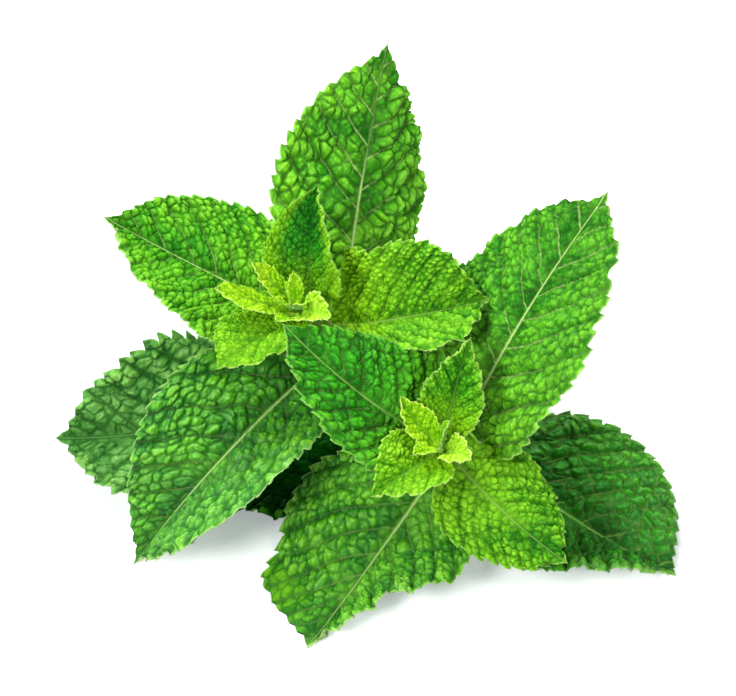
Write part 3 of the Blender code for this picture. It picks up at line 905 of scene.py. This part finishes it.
def stem_mesh(name, route, joints, start_dip):
    """A square tube along a route, swollen at each leaf pair and closed at both ends."""
    points = smooth_route(route, STEM_RING)
    from_tip = np.linalg.norm(np.diff(points[::-1, :3], axis=0), axis=1)
    below = np.concatenate([[0.0], np.cumsum(from_tip)])[::-1]
    tangents = unit(np.gradient(points[:, :3], axis=0))
    normal = unit(np.cross(tangents[0], (0.0, 0.0, 1.0)))
    turn = np.arange(STEM_SIDES) / STEM_SIDES * 2 * np.pi
    shape, corner = stem_outline(turn)
    rings, corners, knots, cuts = [], [], [], []
    for point, tangent, depth in zip(points, tangents, below):
        normal = unit(normal - tangent * normal.dot(tangent))
        binormal = np.cross(tangent, normal)
        swell = 1 + 0.32 * sum(bell(depth - joint, 1.3) for joint in joints)
        radius = point[3] * swell * (shape + 0.02 * np.cos(3 * turn + depth))
        ring = point[:3] + radius[:, None] * (
            np.cos(turn)[:, None] * normal + np.sin(turn)[:, None] * binormal)
        rings.append(ring)
        corners.append(corner)
        knots.append(np.full(STEM_SIDES, min(1.0, swell * 3.1 - 3.1)))
        cuts.append(np.zeros(STEM_SIDES))
    start = points[0, :3]
    skin = rings[0]
    caps = []
    for share in np.linspace(0.94, 0.0, CUT_RINGS):
        hollow = start_dip * (1 - share)
        caps.insert(0, start + (skin - start) * share + tangents[0] * hollow)
    tip_rings = []
    for share in (0.8, 0.45, 0.0):
        tip_rings.append(
            points[-1, :3] + (rings[-1] - points[-1, :3]) * share + tangents[-1] * (1 - share) * 0.5)
    rings = caps + rings + tip_rings
    ends = [np.zeros(STEM_SIDES)] * 3
    corners = [np.zeros(STEM_SIDES)] * CUT_RINGS + corners + ends
    knots = [np.zeros(STEM_SIDES)] * CUT_RINGS + knots + ends
    cuts = [np.ones(STEM_SIDES)] * CUT_RINGS + cuts + ends
    grid = np.array(rings) + LAYOUT_TO_TABLE
    grid[..., 2] = np.maximum(grid[..., 2], TABLE_GAP)

    count = len(rings)
    number = np.arange(count * STEM_SIDES).reshape(count, STEM_SIDES)
    ahead = np.roll(number, -1, axis=1)
    quads = np.stack([number[:-1], ahead[:-1], ahead[1:], number[1:]], -1).reshape(-1, 4)
    faces = quads.tolist()
    mesh = bpy.data.meshes.new(name)
    mesh.from_pydata((grid.reshape(-1, 3) * MM).tolist(), [], faces)
    for label, values in (("corner", corners), ("joint", knots), ("cut", cuts)):
        attribute = mesh.attributes.new(label, "FLOAT", "POINT")
        attribute.data.foreach_set("value", np.concatenate(values).astype(np.float32))
    shell = bmesh.new()
    shell.from_mesh(mesh)
    bmesh.ops.remove_doubles(shell, verts=shell.verts, dist=0.002 * MM)
    bmesh.ops.recalc_face_normals(shell, faces=shell.faces)
    shell.to_mesh(mesh)
    shell.free()
    mesh.shade_smooth()
    return mesh


# ---- Putting the sprig together

def add_piece(name, mesh, material, node):
    mesh.materials.append(material)
    piece = bpy.data.objects.new(name, mesh)
    bpy.context.scene.collection.objects.link(piece)
    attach(piece, "root")
    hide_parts(node)


STEM_POINT_STEP = 4.0  # between the points of a stem that its leaves are placed on
LEAST_JOINT_DEPTH = 5  # nearer to its tip than this, a stem has no swollen joints
CUT_DIP = 0.4  # how far the cut end of the main stem is hollowed
SIDE_STEM_ROOT = [(7.6, 39.5, 4.2, 1.2)]  # inside the main stem


def add_leaves(leaves, route, tissue, grain):
    stem_points = smooth_route(route, STEM_POINT_STEP)
    for leaf in leaves:
        build, greens, slot = LOOKS[leaf.name]
        mesh = leaf_mesh(leaf, build, leaf_axes(leaf, stem_points))
        material = leaf_material(leaf, build, greens, slot, tissue, grain)
        add_piece(leaf.name + "_blade", mesh, material, leaf.name)


def add_stem(name, route, leaves, skin, dip):
    joints = sorted({leaf.below for leaf in leaves if leaf.below > LEAST_JOINT_DEPTH})
    mesh = stem_mesh(name + "_tube", route, joints, dip)
    add_piece(name + "_tube", mesh, skin, name)


def add_sprig():
    tissue = leaf_tissue_group()
    grain = leaf_grain_group()
    add_leaves(MAIN_LEAVES, MAIN_ROUTE, tissue, grain)
    add_leaves(SIDE_LEAVES, SIDE_ROUTE, tissue, grain)
    skin = stem_material()
    add_stem("main_stem", MAIN_ROUTE, MAIN_LEAVES, skin, CUT_DIP)
    add_stem("side_stem", SIDE_STEM_ROOT + SIDE_ROUTE, SIDE_LEAVES, skin, 0.0)


# ---- Table, light and camera

TABLE_GLOW = 0.36  # the brightness a lit table adds under the sprig's shadows
TABLE_GLOW_COLOUR = (0.90, 0.97, 1.0, 1.0)
TABLE_WHITE = (0.93, 0.93, 0.93, 1.0)
TABLE_ROUGHNESS = 0.9
TABLE_HALF = 1.5  # metres
SKY_BRIGHTNESS = 0.18

# Round studio lights: name, place and the point each shines on, in metres, then its
# diameter in metres and its power in watts.
LIGHTS = [
    ("key", (-0.25, 0.30, 0.90), (0, 0, 0.03), 0.60, 9.4),
    ("left front", (-0.45, -0.65, 0.75), (0, 0, 0.02), 0.30, 8.5),
    ("right", (0.62, -0.31, 0.72), (0, 0, 0.02), 0.30, 3.2),
]

CAMERA_FOCUS = (0.74, -12.79, 30.28)
CAMERA_ELEVATION = 45
CAMERA_DISTANCE = 0.5  # metres
CAMERA_LENS = 122.3
CAMERA_SENSOR = 36.0


def add_table():
    material = bpy.data.materials.new("white table")
    material.use_nodes = True
    nodes, links = material.node_tree.nodes, material.node_tree.links
    shader = nodes["Principled BSDF"]
    shader.inputs["Base Color"].default_value = TABLE_WHITE
    shader.inputs["Roughness"].default_value = TABLE_ROUGHNESS
    shader.inputs["Specular IOR Level"].default_value = 0.0
    ray = nodes.new("ShaderNodeLightPath")
    shader.inputs["Emission Color"].default_value = TABLE_GLOW_COLOUR
    glow = maths(nodes, links, "MULTIPLY", ray.outputs["Is Camera Ray"], TABLE_GLOW)
    links.new(glow, shader.inputs["Emission Strength"])
    corners = [(x * TABLE_HALF, y * TABLE_HALF, 0) for x, y in ((-1, -1), (1, -1), (1, 1), (-1, 1))]
    mesh = bpy.data.meshes.new("table")
    mesh.from_pydata(corners, [], [(0, 1, 2, 3)])
    mesh.materials.append(material)
    table = bpy.data.objects.new("table", mesh)
    bpy.context.scene.collection.objects.link(table)


def add_light(name, place, aim, size, power):
    light = bpy.data.lights.new(name, "AREA")
    light.shape = "DISK"
    light.size = size
    light.energy = power
    lamp = bpy.data.objects.new(name, light)
    lamp.location = place
    lamp.rotation_euler = (Vector(aim) - Vector(place)).to_track_quat("-Z", "Y").to_euler()
    bpy.context.scene.collection.objects.link(lamp)


def add_sky():
    world = bpy.data.worlds.new("studio")
    world.use_nodes = True
    sky = world.node_tree.nodes["Background"]
    sky.inputs["Color"].default_value = (1, 1, 1, 1)
    sky.inputs["Strength"].default_value = SKY_BRIGHTNESS
    bpy.context.scene.world = world


def add_camera():
    focus = Vector(CAMERA_FOCUS) * MM
    elevation = math.radians(CAMERA_ELEVATION)
    back = Vector((0, -math.cos(elevation), math.sin(elevation)))
    camera = bpy.data.cameras.new("camera")
    camera.sensor_width = CAMERA_SENSOR
    camera.lens = CAMERA_LENS
    holder = bpy.data.objects.new("camera", camera)
    holder.location = focus + back * CAMERA_DISTANCE
    holder.rotation_euler = (-back).to_track_quat("-Z", "Y").to_euler()
    bpy.context.scene.collection.objects.link(holder)
    bpy.context.scene.camera = holder


add_sprig()
add_table()
add_sky()
for settings in LIGHTS:
    add_light(*settings)
add_camera()
bpy.context.scene.view_settings.view_transform = "Standard"
